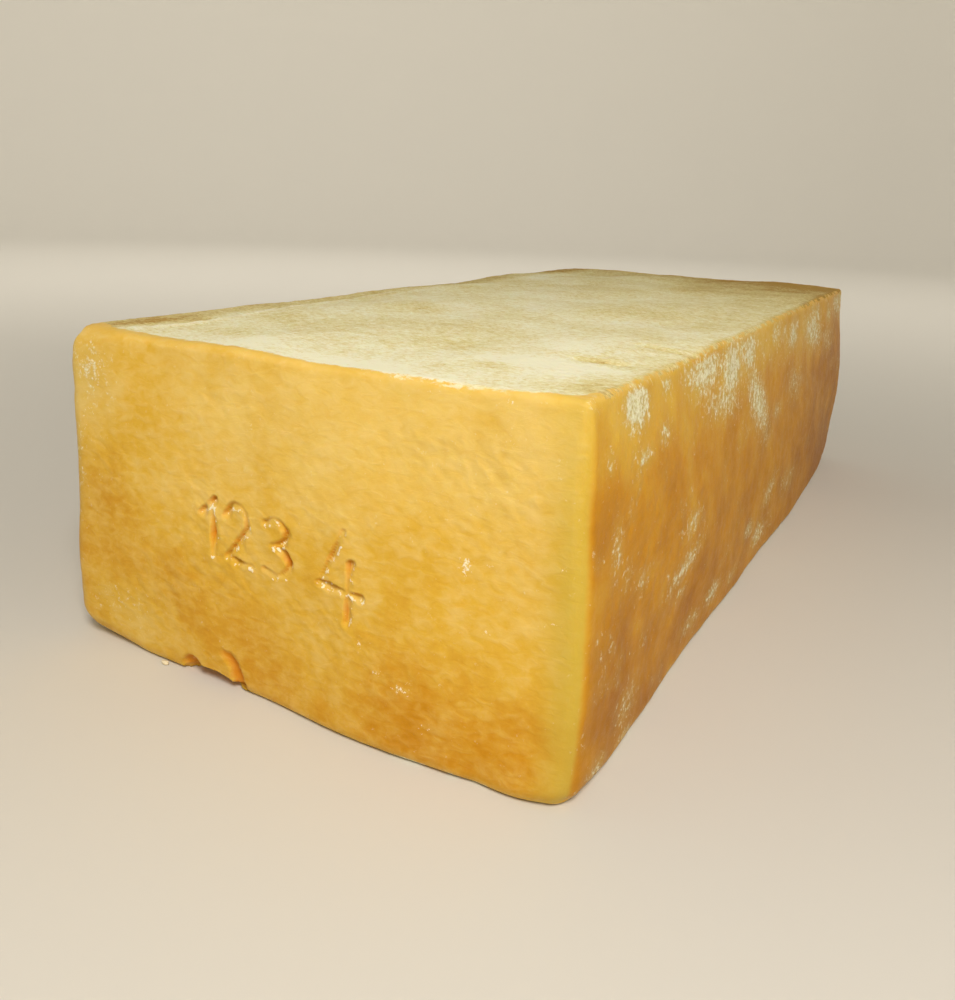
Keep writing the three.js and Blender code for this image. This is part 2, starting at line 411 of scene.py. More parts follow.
def nearest(at, line):
    """For places on a face: the distance to a line, the offset from it, and how far along it they are."""
    best, offset, along = np.full(len(at), np.inf), np.zeros_like(at), np.zeros(len(at))
    for i, (a, b) in enumerate(zip(line, line[1:])):
        run = b - a
        t = np.clip((at - a) @ run / (run @ run), 0, 1)
        away = at - a - t[:, None] * run
        distance = np.linalg.norm(away, axis=1)
        closer = distance < best
        best[closer], offset[closer] = distance[closer], away[closer]
        along[closer] = (i + t[closer]) / (len(line) - 1)
    return best, offset, along


print("the long seam has", len(smooth_line(SEAM_LONG)), "points")

# %% [markdown]
# ## The pressed digits
# A thin plate was pushed in at a slant for each stroke. The paste was torn down on the upper left,
# where the wall is steep and looks dark; its deeper orange is the moist paste and painted shade in
# the steep wall. On the lower right it was dragged into a gentle ramp that ends in crumbs. A boolean
# with a round bar, as in the CAD model, leaves an even gutter. Here each point near a stroke is pushed
# in by a depth that depends on its side of the stroke, and the hand's pressure comes and goes along it.

# %% Press the digits
STROKE_DEPTH = 2.6  # mm
HALF_WIDTH, RAMP_WIDTH = 2.0, 1.2  # mm from the stroke's line, and what the ramp's side adds
WALL_CURVE, RAMP_CURVE = 1.15, 0.4  # how hollow the wall is, and what the ramp's side adds
CRUMB_HEIGHT, SWELLING = 0.7, 0.45  # how high the crumbs and the soft paste round a stroke stand
SWOLLEN_REACH = 5.5
SLANT = np.array((0.62, -0.78))  # towards the ramp, as X and Z on the front
DIGIT_REGION = (52, 30, 90)  # mm: how far out in X, and between which heights, a stroke changes points

pressed = np.zeros(len(points))  # how deep a point is pushed in, as a share of the full depth
crumbs = np.zeros(len(points))  # how many crumbs lie there
swollen = np.zeros(len(points))  # how much the paste swells there
# How much of the torn wall shows. Its deeper orange is the moist paste, and painted shade in the steep wall.
torn = np.zeros(len(points))  # how much of the torn wall shows
scraped = np.zeros(len(points))  # and how much of the scraped ramp
out_to, from_z, to_z = DIGIT_REGION
region = (box_points[:, 1] < -half[1] + 0.1) & (np.abs(points[:, 0]) < out_to)
region &= (points[:, 2] > from_z) & (points[:, 2] < to_z)
face = points[region][:, [0, 2]]
grain = lumps(points[region], 1.7, 1)
ragged = lumps(points[region], 4.5, 2)
for digit, left_side, foot, wide, high in DIGIT_ROW:
    curved, strokes = DIGIT_STROKES[digit]
    for number, stroke in enumerate(strokes):
        corners = np.array(stroke) * (wide, high) + (left_side, foot)
        line = smooth_line(corners) if curved else corners
        distance, offset, along = nearest(face, line)
        toward = offset @ SLANT / np.maximum(distance, 0.05)
        pressure = 0.6 + 0.4 * np.sin(2.3 * np.pi * along + 2.1 * number + digit)
        reach = (HALF_WIDTH + RAMP_WIDTH * toward) * (0.75 + 0.35 * pressure)
        reach *= 1 + 0.35 * ragged + 0.2 * grain
        share = np.clip(distance / np.maximum(reach, 0.5), 0, 1)
        depth = pressure * (1 - share) ** (WALL_CURVE + RAMP_CURVE * toward) * (1 + 0.3 * ragged)
        pressed[region] = np.maximum(pressed[region], np.clip(depth, 0, 1))
        torn[region] = np.maximum(torn[region], 1.4 * depth * np.clip(0.75 - 1.1 * toward, 0, 1))
        scraped[region] = np.maximum(scraped[region], depth * np.clip(toward, 0, 1))
        ramp_side = np.clip(0.25 + toward, 0, 1)
        crest = np.exp(-(distance - 0.5 * reach) ** 2) * ramp_side * np.clip(0.3 + 2.2 * grain, 0, 1)
        crest *= 0.55 + 0.45 * (1 - pressure)
        crumbs[region] = np.maximum(crumbs[region], crest)
        swollen[region] = np.maximum(swollen[region], np.exp(-(distance / SWOLLEN_REACH) ** 2))
points[:, 1] += STROKE_DEPTH * pressed - CRUMB_HEIGHT * crumbs - SWELLING * swollen
print("deepest stroke in mm:", round(STROKE_DEPTH * pressed.max(), 2),
      "points with crumbs:", int((crumbs > 0.4).sum()))

# %% [markdown]
# ## The chipped edge
# Handling broke the bottom edge of the front: a notch, a flap that lifts off the shelf, and a torn
# groove beside it. Each point of the surface that lies inside a chip's ellipsoid is moved inwards and
# up until it meets the ellipsoid's far wall. That keeps the mesh closed and gives the broken wall
# the faces that the edge had.

# %% Break the bottom edge
INWARD = np.array((0.0, 0.8, 0.6))  # into the block and up
TEAR_DEPTH = 2.9  # mm


def front_at(x, z):
    """Where the plain form's front stands at an X and a height."""
    box = np.array([[x, -half[1], z - half[2]]])
    for _ in range(4):
        box[:, 0] += x - shape(box)[:, 0]
    return shape(box)[0, 1]


# How far each point is broken in. The shader paints these places a deeper orange: the moist paste, and
# painted shade in the crevices.
broken_paste_and_shade = np.zeros(len(points))
for (x, set_in, z), axes in CHIPS:
    axes = np.array(axes, float)
    start = (points - (x, front_at(x, 6) + set_in, z)) / axes
    going = INWARD / axes
    b, c = start @ going, (start ** 2).sum(1) - 1
    inside = c < 0
    travel = np.where(inside, (np.sqrt(np.maximum(b * b - (going @ going) * c, 0)) - b) / (going @ going), 0)
    travel *= 1 + 0.12 * np.where(inside, np.sin(points[:, 0] * 1.7) * np.sin(points[:, 2] * 1.3), 0)
    points += travel[:, None] * INWARD
    broken_paste_and_shade = np.maximum(broken_paste_and_shade, ramp(travel, 0.2, 2.5))

region = (box_points[:, 1] < -half[1] + 0.1) & (np.abs(points[:, 0] + 25) < 14) & (points[:, 2] < 24)
distance, _, along = nearest(points[region][:, [0, 2]], smooth_line(TEAR))
half_width = TEAR_DEPTH * (0.55 + 0.45 * along)
depth = TEAR_DEPTH * np.sqrt(np.clip(1 - (distance / half_width) ** 2, 0, 1)) * (0.4 + 0.6 * along)
points[region, 1] += depth
broken_paste_and_shade[region] = np.maximum(broken_paste_and_shade[region], ramp(depth, 0.2, 1.8))
print("points in the broken edge:", int((broken_paste_and_shade > 0.5).sum()))

# %% [markdown]
# ## The cloth's seam
# The block is pressed in cloth, and the seam of the cloth prints a bead about a millimetre high.
# It is sharp near the front and fades where the block was turned and rubbed.

# %% Raise the seam
BEAD_HEIGHT, BEAD_WIDTH = 1.0, 1.3  # mm
seam = np.zeros(len(points))
region = top > 0.5
for run, strength in ((SEAM_LONG, 1.0), (SEAM_CROSS, 0.7)):
    distance, _, along = nearest(points[region][:, :2], smooth_line(run))
    dashes = 0.65 + 0.8 * lumps(points[region] * (1, 1, 0), 9.0, 3, 2)
    bead = strength * np.exp(-(distance / BEAD_WIDTH) ** 2) * np.clip(dashes, 0.15, 1) * (1 - 0.5 * along)
    seam[region] = np.maximum(seam[region], bead)
points[:, 2] += BEAD_HEIGHT * seam
print("points on the seams:", int((seam > 0.4).sum()))

# %% [markdown]
# ## The skin's relief
# The rind is soft and waxy, with shallow dents, and wrinkled where it dried, near the front's upper
# right corner. The brush left smears that slant over the two ends. The dry top has a thin crust with
# the print of the cloth, and two creases near its right edge. Each is noise of its own size, some
# tenths of a millimetre high, added along the normals. The heights mostly go inwards, and the few
# points that still stand out of the CAD model's box are pressed back onto it at the end.

# %% Add the relief of the rind
SMEAR, WRINKLE, POCK, FIBRE, DENT, RIM = 0.3, 0.5, 0.32, 0.26, 0.35, 0.3  # heights in mm
SINK = 0.3  # mm that the whole skin is set in, to make room for them
CREASES = (((75, -180), (92, -176)), ((86, -138), (106, -137)))  # X and Y of their ends
CREASE_DEPTH, CREASE_WIDTH, CREASE_WANDER = 1.1, 2.6, 2.0  # mm
SMEAR_ANGLE, WRINKLE_ANGLE, FIBRE_ANGLE = -36, -40, 8  # degrees

write_points(points - centre)
normals = read_normals()


def turned(across, up, angle):
    """Two face coordinates, turned by an angle in degrees and stacked with a third that is 0."""
    c, s = math.cos(math.radians(angle)), math.sin(math.radians(angle))
    return np.stack((across * c + up * s, up * c - across * s, np.zeros(len(across))), 1)


def around(value, middle, reach):
    """1 at the middle, falling off smoothly at each side."""
    return np.exp(-((value - middle) / reach) ** 2)


x, y, z = points.T
softness = np.clip(0.5 + 1.2 * lumps(points, 38.0, 16, 2), 0, 1)  # where the skin is dented, not smooth
end_smears = lumps(turned(x, z, SMEAR_ANGLE), np.array((7.0, 3.6, 1)), 4, 3)
wrinkles = 1 - np.abs(lumps(turned(x, z, WRINKLE_ANGLE), np.array((8.0, 3.6, 1)), 17, 2)) * 3.2
wrinkled = around(x, 62, 38) * around(z, 98, 24) * (0.4 + 0.6 * softness)
pocks = lumps(points, 4.2, 5, 3)
fibres = lumps(turned(x, y, FIBRE_ANGLE), np.array((3.6, 2.2, 1)), 6, 3)
dents = lumps(points, 24.0, 7, 2)
relief = (front + back) * (SMEAR * end_smears * softness
                           + WRINKLE * front * np.clip(wrinkles, 0, 1) * wrinkled)
relief += (left + right) * POCK * pocks * (0.4 + 0.6 * softness) + top * FIBRE * fibres
relief += DENT * dents - SINK
for run in CREASES:
    distance, _, _ = nearest(points[:, :2] + CREASE_WANDER * dents[:, None], np.array(run, float))
    relief -= top * CREASE_DEPTH * np.exp(-(distance / CREASE_WIDTH) ** 2)
rim = np.exp(-(np.sort(inset, axis=1)[:, 1] / 6) ** 2)  # 1 along the block's edges
relief += RIM * rim * lumps(points, 16.0, 8, 3)
relief *= ramp(z, 0.0, 3.0)  # none at the base, which lies flat
points += normals * relief[:, None]
print("relief in mm from", relief.min().round(2), "to", relief.max().round(2))

# %% [markdown]
# ## Where the mould grows
# Pale mould dusts the long side. It is thick in a band under the top edge, where the rind dries
# first, and spotty below. The right side's spots are listed one by one. The hidden sides get a band
# and spots of the same kind from noise. Further down the amounts become attributes of the mesh, and
# the shader reads them, so that a pattern always stays where it was put.

# %% Lay out the mould
# Mould of the right side: Y, height, half-length, half-height in mm, tilt in degrees, strength.
SPOTS = (
    (-205, 121, 11, 8, 0, 2.0), (-172, 122, 8, 5, 0, 1.0), (-124, 120, 28, 11, 0, 1.35),
    (-85, 115, 17, 11, 0, 1.7), (-52, 118, 17, 11, 0, 1.3), (-96, 103, 34, 9, -6, 1.0),
    (-32, 92, 32, 12, -34, 1.3), (-10, 72, 14, 9, 0, 0.7), (14, 79, 14, 6, 0, 0.8),
    (50, 115, 22, 10, 6, 1.15), (115, 110, 36, 12, -10, 1.2), (60, 88, 26, 12, 0, 0.7),
    (170, 100, 30, 12, -8, 0.7),
    (-29, 26, 14, 5, -8, 1.0), (11, 36, 18, 8, 20, 0.85), (-4, 16, 16, 8, 0, 1.0), (60, 30, 26, 10, 0, 0.6),
    (-95, 17, 14, 6, 0, 1.05), (-127, 15, 14, 5, 0, 0.85), (-60, 13, 14, 5, 0, 0.7),
    (-142, 64, 15, 6, 0, 0.95), (-147, 48, 25, 6, 12, 0.95), (-148, 37, 8, 3.5, 0, 0.8),
    (-200, 103, 9, 4, 0, 0.95), (-177, 106, 8, 5, 0, 0.95), (-222, 79, 6, 12, 0, 0.8),
    (-212, 67, 7, 6, 0, 0.65), (-229, 108, 3, 6, 0, 0.75), (-197, 60, 9, 6, 0, 0.65),
    (-205, 17, 14, 9, 0, 0.75), (-230, 6, 10, 5, 0, 0.95), (-204, 5, 10, 4, 0, 0.85),
)
# Thin veils of it at the front's left edge and foot: X, height, half-width, half-height, strength.
VEILS = ((-94, 112, 12, 15, 0.7), (-105, 75, 5, 28, 0.6), (-86, 20, 22, 9, 0.4))
BAND_FOOT, BAND_TOP = 92, 122  # mm, the heights between which the band under the top edge thickens


def spot(across, up, at, reach, tilt=0.0):
    """1 at a spot's middle, falling off smoothly, with the spot tilted by some degrees."""
    c, s = math.cos(math.radians(tilt)), math.sin(math.radians(tilt))
    u, v = across - at[0], up - at[1]
    return np.exp(-((u * c + v * s) / reach[0]) ** 2 - ((v * c - u * s) / reach[1]) ** 2)


patchy = lumps(points, 26.0, 9, 3)
mould = np.zeros(len(points))
for y0, z0, wide, high, tilt, strength in SPOTS:
    mould = np.maximum(mould, right * strength * spot(y, z, (y0, z0), (wide, high), tilt))
for x0, z0, wide, high, strength in VEILS:
    mould = np.maximum(mould, front * strength * spot(x, z, (x0, z0), (wide, high)))
under_top = ramp(z, BAND_FOOT, BAND_TOP)
strays = ramp(lumps(points, 18.0, 10, 3), 0.1, 0.6)
# The band under the top edge of three sides, stray spots, and a trace along the top's right rim.
top_rim = (right + top > 0.3) * (x > 0) * around(inset[:, 0] + inset[:, 2], 1, 4)
for amount in (right * under_top * np.clip(0.65 + 0.9 * patchy, 0, 1) * ramp(y, -190, -130),
               left * under_top * np.clip(0.45 + 1.1 * patchy, 0, 1),
               back * under_top * np.clip(0.25 + 1.1 * patchy, 0, 1),
               (0.75 * left + 0.55 * back + 0.35 * right) * strays,
               0.4 * top_rim):
    mould = np.maximum(mould, amount)
print("points under mould:", int((mould > 0.5).sum()))

# %% [markdown]
# ## Pale flecks and painted glints of the front
# Where the front was rubbed, the paste dried to pale flecks of a millimetre or so. The same pale
# flecks also stand for the small glints of the moist skin: painted highlights. The larger groups are
# listed by place. The crumbs of the digits and the ramps that were scraped get them as well, and
# there they are mostly painted glints.

# %% Lay out the flecks and painted glints
# X, height, half-width, half-height in mm, strength.
FLECK_AND_GLINT_SPOTS = (
    (-93, 113, 11, 13, 0.52), (-97, 95, 8, 14, 0.42), (73, 73, 2.6, 3.4, 0.95), (80, 75, 2.2, 1.3, 0.75),
    (82, 54, 2.2, 1.2, 0.7), (54, 27, 4.5, 1.8, 0.85), (43, 30.5, 4, 1.5, 0.75), (36, 37, 2.5, 3.5, 0.55),
    (63, 16, 4, 2.5, 0.5), (58, 124.5, 4, 1.1, 0.6), (72, 125.2, 4, 1.1, 0.6), (84, 124.6, 3, 1.4, 0.7),
    (84, 115, 3, 7, 0.45), (103, 62, 5, 4, 0.45), (105, 80, 2, 2, 0.6), (70, 92, 26, 15, 0.22),
)
# Crumbs and scraped ramps get pale flecks that are mostly painted glints, highlights on the moist paste.
fleck_and_glint = np.maximum(2.0 * crumbs, 0.9 * scraped)
for x0, z0, wide, high, strength in FLECK_AND_GLINT_SPOTS:
    fleck_and_glint = np.maximum(fleck_and_glint, front * strength * spot(x, z, (x0, z0), (wide, high)))
print("points with flecks:", int((fleck_and_glint > 0.4).sum()))

# %% [markdown]
# ## The bloom of the top
# The top is dry, and a felt of pale mould covers it. The felt starts some millimetres in from each
# edge with a ragged border, and hangs over the right edge and a part of the front one. Golden
# streaks show in its creases.

# %% Lay out the bloom
STREAKS = (((76, -182), (86, -175), (98, -177), (104, -174)), ((84, -139), (94, -136), (108, -141)))
STREAK_WIDTH, STREAK_WANDER = 3.5, 3.0  # mm
# How far in from its edge the bloom starts, in mm. At the front it comes closer towards the right.
front_margin = 5.4 - 4.4 * ramp(x, -70, 60)
BACK_MARGIN, RIGHT_MARGIN, LEFT_MARGIN = 3.5, 0.8, 1.6

margin = np.minimum(inset[:, 1] - np.where(y < 0, front_margin, BACK_MARGIN),
                    inset[:, 0] - np.where(x > 0, RIGHT_MARGIN, LEFT_MARGIN))
margin -= 1.4 * lumps(points, 9.0, 11, 3) + 0.8 * lumps(points, 2.6, 13, 2)
margin -= 5.0 * spot(x, y, (108, -238), (11, 12)) + 8.0 * spot(x, y, (-104, -240), (12, 12))  # bare corners
bloom = top * ramp(margin, -1.2, 1.6)
over_side = (x > 0) * (inset[:, 0] < 6) * ramp(inset[:, 2], 3.2, 0.4) * ramp(y, -240, -225)
over_front = (y < 0) * (inset[:, 1] < 6) * ramp(inset[:, 2], 2.6, 0.4) * ramp(x, 10, 70) * ramp(x, 112, 70)
lip = np.maximum(over_side, 0.8 * over_front) * np.clip(0.46 + 0.8 * lumps(points, 5.5, 15, 3), 0, 1)
bloom = np.maximum(bloom, lip)
for streak in STREAKS:
    distance, _, _ = nearest(points[:, :2] + STREAK_WANDER * patchy[:, None], np.array(streak, float))
    bloom *= 1 - 0.35 * np.exp(-(distance / STREAK_WIDTH) ** 2) * np.clip(0.8 + 1.5 * fibres, 0, 1)
print("points under bloom:", int((bloom > 0.5).sum()))

# %% [markdown]
# ## Chalk and tan, and painted shade
# Fresh bloom is chalky, and old bloom is tan. It is freshest near the front, and oldest along the two
# long edges. Towards the far end, and most at the far right, the top is made tan as well, and that is
# painted shade, where the light falls off. Each row is a change and the places it goes to, where 0 is
# chalky and 1 is tan.

# %% Lay out the bloom's age and painted shade
# Patches: X, Y, half-sizes in mm, change.
CRUST_PATCHES = (
    (72, -195, 17, 9, -0.42), (91, -191, 7, 5, -0.35), (62, -160, 12, 10, -0.2), (-40, -226, 34, 10, -0.25),
    (14, -232, 34, 8, -0.22), (62, -210, 9, 6, 0.3), (86, -178, 12, 4, 0.45), (95, -138, 12, 4, 0.25),
    (100, -222, 8, 16, 0.5), (-84, -196, 4, 9, 0.5), (-91, -212, 6, 28, 0.3),
)
bloom_age_and_shade = 0.42 + 0.22 * lumps(points, 30.0, 14, 3)
for change, where in (
    (-0.12, ramp(-y, 120, 235) * ramp(x, -60, 40)),  # the near right quarter
    (0.35, ramp(-x, 84, 96)),  # along the left edge
    # This row and the far right row below are painted shade: the top is darker where the light falls off.
    (0.45, ramp(y, 130, 250)),  # the far end
    (0.28, ramp(-inset[:, 0], -5, -1)),  # the rims of both long edges
    (-0.08, ramp(-inset[:, 1], -15, -6) * (y < 0)),  # the front's rim
    (0.5, ramp(y, 20, 160) * ramp(x, -30, 70)),  # the far right
):
    bloom_age_and_shade += change * where
for x0, y0, wide, deep, change in CRUST_PATCHES:
    bloom_age_and_shade += change * spot(x, y, (x0, y0), (wide, deep))
print("the bloom's age on the top: mean", round(bloom_age_and_shade[top > 0.5].mean(), 2))

# %% [markdown]
# ## How thick the skin is, and painted shade
# The skin is pale gold where it is thin, at 0, and orange brown where it is thick, at 1. It is
# thinnest on the front and thickest on the right side. The brine gathers at the foot and thickens it,
# and rubbing thins it at the edges. The same number also paints light and shade: the far part of the
# right side is made browner as painted shade, and the front's upper rim and left edge paler as
# painted highlight. Again each row is a change and the places it goes to.

# %% Lay out the skin's thickness and painted shade
skin_thickness_and_shade = 0.26 + 0.42 * right + 0.20 * left + 0.30 * back + 0.1 * lumps(points, 42.0, 12, 3)
for change, where in (
    (0.24, (front + back) * ramp(60 - z, 0, 50)),  # the foot of both ends
    (0.22, front * ramp(-x, 30, 95) * ramp(z, 15, 50)),  # the left of the front
    (-0.22, front * ramp(z, 62, 110) * (0.5 + 0.5 * ramp(x, -60, 20))),  # the upper front
    (-0.3, right * ramp(z, 85, 120)),  # the upper right side
    (-0.3, front * spot(x, z, (-82, 14), (30, 20))),  # the front's lower left corner
    (-0.34, front * spot(x, z, (-100, 112), (22, 26))),  # and its upper left one
    # The next two rows make the front's upper rim and its left edge paler: painted highlight on the rounded
    # edges.
    (-0.05, (top + front > 0.3) * (y < 0) * ramp(inset[:, 2], 6, 1)),  # the front's upper rim
    (-0.04, front * ramp(-x, 90, 108) * ramp(z, 35, 85)),  # its left edge
    (0.12, front * ramp(x, 10, 70) * ramp(60 - z, 0, 40)),  # its lower right
    # This row and the far-end row below paint shade: the right side darkens towards its far end, where the
    # light falls off.
    (0.15, right * ramp(y, 0, 200)),  # the far part of the right side
    (0.2, right * ramp(70 - z, 0, 50) * (0.5 + 0.5 * ramp(-y, 0, 240))),  # its foot
    (0.13, (left + right) * lumps(points, 18.0, 18, 3)),  # clouds on the long sides
    (0.1, right * ramp(y, 80, 240)),  # the far end of the right side
):
    skin_thickness_and_shade += change * where
print("thickness on the front:", round(skin_thickness_and_shade[front > 0.5].mean(), 2),
      "and on the right side:", round(skin_thickness_and_shade[right > 0.5].mean(), 2))

# %% [markdown]
# ## Painted light on the upright edges
# Light that enters near an upright edge comes out at its other side, and the rounded edges catch the
# light best, so they look lemon. That glow and highlight are painted into the colour as a pale band:
# painted light. The near edge is the sharpest and is painted brightest, in a band almost 20 mm wide on
# the front. The front's left edges and the back's upright edges get a fainter painted glow.

# %% Lay out the painted glow of the edges
FRONT_GLOW, SIDE_GLOW = (19, 1), (4, 0)  # mm from the corner where the glow starts and is full
from_corner = np.where(front > right, inset[:, 0], inset[:, 1])
painted_glow = np.where(front > right, ramp(from_corner, *FRONT_GLOW), ramp(from_corner, *SIDE_GLOW))
painted_glow *= (front + right > 0.3) * np.where((x > 0) & (y < 0), 1 - 0.5 * ramp(z, 75, 125), 0)
painted_glow = np.maximum(painted_glow, 0.3 * front * np.where(x < 0, ramp(inset[:, 0], 10, 2), 0))
painted_glow = np.maximum(painted_glow, 0.4 * ramp(back, 0.35, 0.6) * ramp(inset[:, 0], 12, 2))
print("points that glow:", int((painted_glow > 0.3).sum()))

# %% [markdown]
# ## Finish the mesh
# The amounts are stored as attributes on the points, where the shader finds them by name. Then the
# points go to their places, and one face closes the middle of the base. Normals are turned outwards
# and the faces are shaded smooth.

# %% Store the amounts and close the base
POINT_VALUES = {
    "torn": torn, "fleck_and_glint": fleck_and_glint, "broken_paste_and_shade": broken_paste_and_shade, "mould": mould, "bloom": bloom, "seam": seam,
    "bloom_age_and_shade": bloom_age_and_shade, "skin_thickness_and_shade": skin_thickness_and_shade, "painted_glow": painted_glow, "on_end": np.minimum(1, 1.7 * (front + back)),
}
for name, values in POINT_VALUES.items():
    layer = block.data.attributes.new(name, "FLOAT", "POINT")
    layer.data.foreach_set("value", values.astype(np.float32))
    print(f"{name}: mean {values.mean():.3f}, most {values.max():.2f}")

# The few points that relief lifts out of the CAD model's box are pressed back onto it.
write_points(np.clip(points - centre, *(np.array(corner) / MM for corner in cad_box)))
bpy.ops.object.mode_set(mode="EDIT")
mesh = bmesh.from_edit_mesh(block.data)
for edge in mesh.edges:
    edge.select_set(edge.is_boundary)
bmesh.update_edit_mesh(block.data)
bpy.ops.mesh.edge_face_add()
bpy.ops.mesh.select_all(action="SELECT")
bpy.ops.mesh.normals_make_consistent(inside=False)
bpy.ops.object.mode_set(mode="OBJECT")
bpy.ops.object.shade_smooth()
triangles = sum(len(face.vertices) - 2 for face in block.data.polygons)
print("rind block:", triangles, "triangles, box in mm", np.ptp(read_points(), axis=0).round(2))

# %% [markdown]
# ## A crumb at its foot
# One white crumb of dried paste lies against the foot of the front. It is a small ball that is
# squeezed and roughened, with few faces.

# %% Make the crumb
CRUMB_X, CRUMB_OUT = -60.5, 0.75  # mm: left of the chip, and out from the front's foot
bpy.ops.mesh.primitive_ico_sphere_add(subdivisions=3, radius=1 * MM, location=(0, 0, 0))
crumb = bpy.context.object
crumb.name = "crumb"
crumb.data.transform(Matrix.Diagonal((1.9, 1.0, 0.75, 1)))
for corner_point in crumb.data.vertices:
    bump = 1 + 0.28 * noise.fractal(corner_point.co / MM * 0.9, 1.0, 2.0, 2)
    corner_point.co = corner_point.co * bump
lowest = min(corner_point.co.z for corner_point in crumb.data.vertices)
foot_y = front_at(CRUMB_X, 3) - centre[1] - CRUMB_OUT
crumb.data.transform(Matrix.Translation(Vector((CRUMB_X * MM, foot_y * MM, -lowest))))
bpy.ops.object.shade_smooth()
print("crumb:", len(crumb.data.polygons), "faces at", round(foot_y, 1), "mm")

# %% [markdown]
# ## Colours and nodes
# Colours are kept as the hex values that a paint program shows, and one function turns them to the
# linear values that the shader needs. One more adds a node, sets it and links it, so that each
# material below reads from top to bottom in the order that the real surface is built up.

# %% Helpers for materials


def linear(hex_code):
    """The linear colour of an sRGB hex code."""
    parts = (int(hex_code[i:i + 2], 16) / 255 for i in (1, 3, 5))
    return (*(part / 12.92 if part <= 0.04045 else ((part + 0.055) / 1.055) ** 2.4 for part in parts), 1)


def add(tree, kind, sockets, **settings):
    """Adds a node, sets its options, and sets or links its sockets. A socket is a name or a number."""
    node = tree.nodes.new("ShaderNode" + kind)
    for option, value in settings.items():
        setattr(node, option, value)
    for socket, value in sockets.items():
        if isinstance(value, bpy.types.NodeSocket):
            tree.links.new(value, node.inputs[socket])
        else:
            node.inputs[socket].default_value = value
    return node


# A Mix node shares its socket names between numbers and colours, so its colour sockets go by number.
AMOUNT, UNDER, OVER, MIXED = 0, 6, 7, 2

# %% [markdown]
# ## The rind
# A washed rind is a moist skin of cheese and bacteria, golden where it is thin and amber where it is
# thick. Light goes a few millimetres into it, and the glow that this gives the edges is painted into
# the colour as painted light. Rubbing leaves slanting smears, and a shallow gloss that breaks into
# small glints, which pale flecks also paint as painted highlights. Mould dries it to a dull cream. The
# top is dry all over: a matt bloom with the fibres of the cloth in it.
#
# The noises come first, each with lumps of a size that was read from the photo.

# %% Start the rind's material with its noises
rind = bpy.data.materials.new("washed_cheese_rind")
rind.use_nodes = True
tree = rind.node_tree
tree.nodes.clear()
place = add(tree, "TexCoord", {}).outputs["Object"]
marks = {name: add(tree, "Attribute", {}, attribute_name=name).outputs["Fac"] for name in POINT_VALUES}


def per_metre(size_mm):
    """The noise scale whose lumps are about this many millimetres long."""
    return 1 / (size_mm * MM)


# Patches of 30 mm where the skin is thicker, clouds of 12 mm, mottling of 5 mm, grit of 1 mm.
patches = add(tree, "TexNoise", {"Vector": place, "Scale": per_metre(30), "Detail": 3.0, "Roughness": 0.5})
clouds = add(tree, "TexNoise", {"Vector": place, "Scale": per_metre(12), "Detail": 4.0, "Roughness": 0.6})
mottle = add(tree, "TexNoise", {"Vector": place, "Scale": per_metre(5), "Detail": 4.0, "Roughness": 0.65})
grit = add(tree, "TexNoise", {"Vector": place, "Scale": per_metre(1.2), "Detail": 3.0, "Roughness": 0.7})
# Smears of 6 by 3 mm that slant over the ends. The long sides have none.
end_turn = add(tree, "Mapping", {"Vector": place, "Rotation": (0, math.radians(-38), 0),
                                 "Scale": (1 / 2, 1, 1)})
smears = add(tree, "TexNoise", {"Vector": end_turn.outputs[0], "Scale": per_metre(3.2), "Detail": 3.0,
                                "Roughness": 0.5, "Distortion": 0.6})
smeared = add(tree, "Mix", {AMOUNT: marks["on_end"], 2: mottle.outputs["Fac"], 3: smears.outputs["Fac"]},
              data_type="FLOAT")
print("noises:", sum(node.type == "TEX_NOISE" for node in tree.nodes))

# %% [markdown]
# ## The moist skin
# One number, the thickness, picks the colour from a ramp of four, from pale gold to orange brown. On
# the far part of the right side that number also holds painted shade. The noises only make the skin
# thicker or thinner, so that every colour stays one that the real skin has.
# A whitish film of dried brine lies on the ends, and a lemon glow is painted on the upright edges as
# painted light. Torn or broken places show the moist paste, which is a deeper orange, partly painted
# shade in the steep walls and crevices.

# %% Colour the skin
SKIN_COLOURS = ((0.0, "#e8c568"), (0.33, "#deb03c"), (0.66, "#cc8e1a"), (1.0, "#aa6c12"))
PATTERN_WEIGHTS = ((patches, "Fac", 0.3), (clouds, "Fac", -0.3), (mottle, "Fac", 0.25),
                   (smeared, 0, -0.27), (grit, "Fac", 0.15))
# The noises lie round one half, so half of the weights' sum is taken off again.
HALF_OF_WEIGHTS = 0.065


def fill_ramp(node, colours):
    """Sets a colour ramp to colours at positions. The first and last take the ramp's own two stops."""
    stops = node.color_ramp.elements
    for position, hex_code in colours[1:-1]:
        stops.new(position).color = linear(hex_code)
    stops[0].color, stops[-1].color = linear(colours[0][1]), linear(colours[-1][1])


def lay_over(under, over, amount):
    """Mixes a colour over another one by an amount, and returns the mixed colour's socket."""
    return add(tree, "Mix", {AMOUNT: amount, UNDER: under, OVER: over}, data_type="RGBA").outputs[MIXED]


thickness_and_shade_value = marks["skin_thickness_and_shade"]
for pattern, output, weight in PATTERN_WEIGHTS:
    thickness_and_shade_value = add(tree, "Math", {0: pattern.outputs[output], 1: weight, 2: thickness_and_shade_value},
                operation="MULTIPLY_ADD").outputs[0]
thickness_and_shade_value = add(tree, "Math", {0: thickness_and_shade_value, 1: HALF_OF_WEIGHTS}, operation="SUBTRACT")
skin_ramp = add(tree, "ValToRGB", {"Fac": thickness_and_shade_value.outputs[0]})
fill_ramp(skin_ramp, SKIN_COLOURS)

